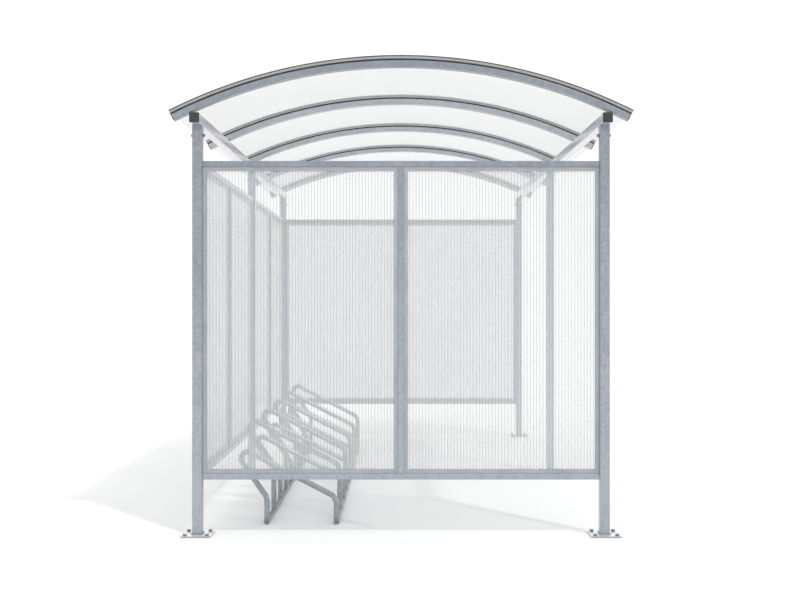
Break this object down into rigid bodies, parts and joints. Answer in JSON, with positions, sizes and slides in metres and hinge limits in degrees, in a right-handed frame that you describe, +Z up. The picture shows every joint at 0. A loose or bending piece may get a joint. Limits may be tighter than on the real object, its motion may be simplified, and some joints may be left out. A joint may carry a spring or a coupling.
{
  "type": "bike shelter",
  "caption": "Open-sided bike shelter with a galvanised square-tube frame, an arched translucent sheet roof, translucent wall sheets and a hooped steel floor rack.",
  "frame": {"origin": "on the ground, below the centre of the roof", "axes": "+X to the open side, +Y along the shelter towards its rear wall, +Z up"},
  "size_m": [2.307, 4.281, 2.3992],
  "materials": {
    "frame_steel": "hot-dip galvanised, satin with a faint spangle",
    "rail_steel": "hot-dip galvanised, satin",
    "rack_steel": "hot-dip galvanised, a little worn",
    "cover_aluminium": "mill finish",
    "channel_aluminium": "mill finish",
    "roof_polycarbonate": "translucent multiwall sheet",
    "wall_polycarbonate": "translucent multiwall sheet",
    "gasket_rubber": "matt black",
    "cap_plastic": "fine grain black"
  },
  "bodies": {
    "root": {"post_front_left": "frame_steel", "post_middle_left": "frame_steel", "post_rear_left": "frame_steel", "post_front_right": "frame_steel", "post_middle_right": "frame_steel", "post_rear_right": "frame_steel", "base_plates_left": "frame_steel", "base_plates_right": "frame_steel", "eave_beam_left": "frame_steel", "eave_beam_right": "frame_steel", "roof_arch_1": "frame_steel", "roof_arch_2": "frame_steel", "roof_arch_3": "frame_steel", "roof_arch_4": "frame_steel", "roof_arch_5": "frame_steel", "front_wall_rails": "rail_steel", "rear_wall_rails": "rail_steel", "left_wall_rails": "rail_steel", "front_wall_mullion": "rail_steel", "rear_wall_mullion": "rail_steel", "left_wall_mullions": "rail_steel", "tube_end_caps": "cap_plastic", "glazing_bars": "cover_aluminium", "roof_gaskets": "gasket_rubber", "roof_sheet_1": "roof_polycarbonate", "roof_sheet_2": "roof_polycarbonate", "roof_sheet_3": "roof_polycarbonate", "roof_sheet_4": "roof_polycarbonate", "cover_strip_1": "cover_aluminium", "cover_strip_2": "cover_aluminium", "cover_strip_3": "cover_aluminium", "cover_strip_4": "cover_aluminium", "cover_strip_5": "cover_aluminium", "front_wall_channels": "channel_aluminium", "rear_wall_channels": "channel_aluminium", "left_wall_channels_front": "channel_aluminium", "left_wall_channels_rear": "channel_aluminium", "front_wall_sheets": "wall_polycarbonate", "rear_wall_sheets": "wall_polycarbonate", "left_wall_sheets_front": "wall_polycarbonate", "left_wall_sheets_rear": "wall_polycarbonate", "rack_rail_outer": "rack_steel", "rack_rail_inner": "rack_steel", "rack_hoops_low": "rack_steel", "rack_hoops_high": "rack_steel"}
  },
  "joints": []
}
